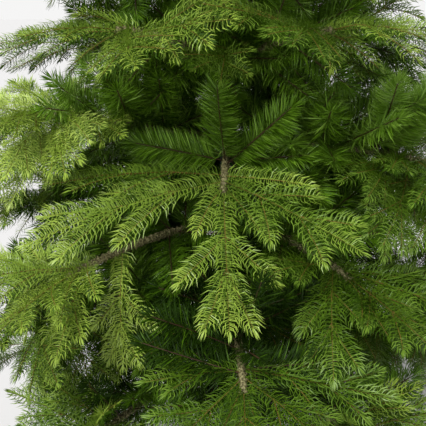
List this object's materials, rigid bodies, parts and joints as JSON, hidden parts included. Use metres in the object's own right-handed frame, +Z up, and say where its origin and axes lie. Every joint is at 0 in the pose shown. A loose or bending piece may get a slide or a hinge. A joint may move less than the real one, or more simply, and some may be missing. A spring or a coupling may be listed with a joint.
{
  "type": "artificial christmas tree",
  "caption": "Undecorated full-size artificial Christmas tree: rings of drooping boughs with moulded and bottle-brush needle sprays on a steel pole, in a plain steel stand.",
  "frame": {"origin": "on the floor, straight under the pole, at the middle of the tree's outline", "axes": "+Z up along the pole, -Y towards the side that the picture shows, +X to that side's right"},
  "size_m": [1.1347, 1.1609, 1.8],
  "materials": {
    "pole_paint": "satin",
    "stand_steel": "satin",
    "wire_wrap": "matte",
    "needles": "matte"
  },
  "bodies": {
    "root": {"bough_tier1_1": "wire_wrap", "bough_tier1_2": "wire_wrap", "bough_tier1_3": "wire_wrap", "bough_tier1_4": "wire_wrap", "bough_tier1_5": "wire_wrap", "bough_tier2_1": "wire_wrap", "bough_tier2_2": "wire_wrap", "bough_tier2_3": "wire_wrap", "bough_tier2_4": "wire_wrap", "bough_tier2_5": "wire_wrap", "bough_tier3_1": "wire_wrap", "bough_tier3_2": "wire_wrap", "bough_tier3_3": "wire_wrap", "bough_tier3_4": "wire_wrap", "bough_tier3_5": "wire_wrap", "bough_tier4_1": "wire_wrap", "bough_tier4_2": "wire_wrap", "bough_tier4_3": "wire_wrap", "bough_tier4_4": "wire_wrap", "bough_tier4_5": "wire_wrap", "foliage_leader": "needles", "foliage_tier1_1": "needles", "foliage_tier1_2": "needles", "foliage_tier1_3": "needles", "foliage_tier1_4": "needles", "foliage_tier1_5": "needles", "foliage_tier2_1": "needles", "foliage_tier2_2": "needles", "foliage_tier2_3": "needles", "foliage_tier2_4": "needles", "foliage_tier2_5": "needles", "foliage_tier3_1": "needles", "foliage_tier3_2": "needles", "foliage_tier3_3": "needles", "foliage_tier3_4": "needles", "foliage_tier3_5": "needles", "foliage_tier4_1": "needles", "foliage_tier4_2": "needles", "foliage_tier4_3": "needles", "foliage_tier4_4": "needles", "foliage_tier4_5": "needles", "foliage_tier5_1": "needles", "foliage_tier5_2": "needles", "foliage_tier5_3": "needles", "foliage_tier5_4": "needles", "foliage_tier5_5": "needles", "foliage_tier6_1": "needles", "foliage_tier6_2": "needles", "foliage_tier6_3": "needles", "foliage_tier6_4": "needles", "foliage_tier7_1": "needles", "foliage_tier7_2": "needles", "foliage_tier7_3": "needles", "stand_leg_1": "stand_steel", "stand_leg_2": "stand_steel", "stand_leg_3": "stand_steel", "stand_leg_4": "stand_steel", "stand_socket": "stand_steel", "trunk": "pole_paint"}
  },
  "joints": []
}
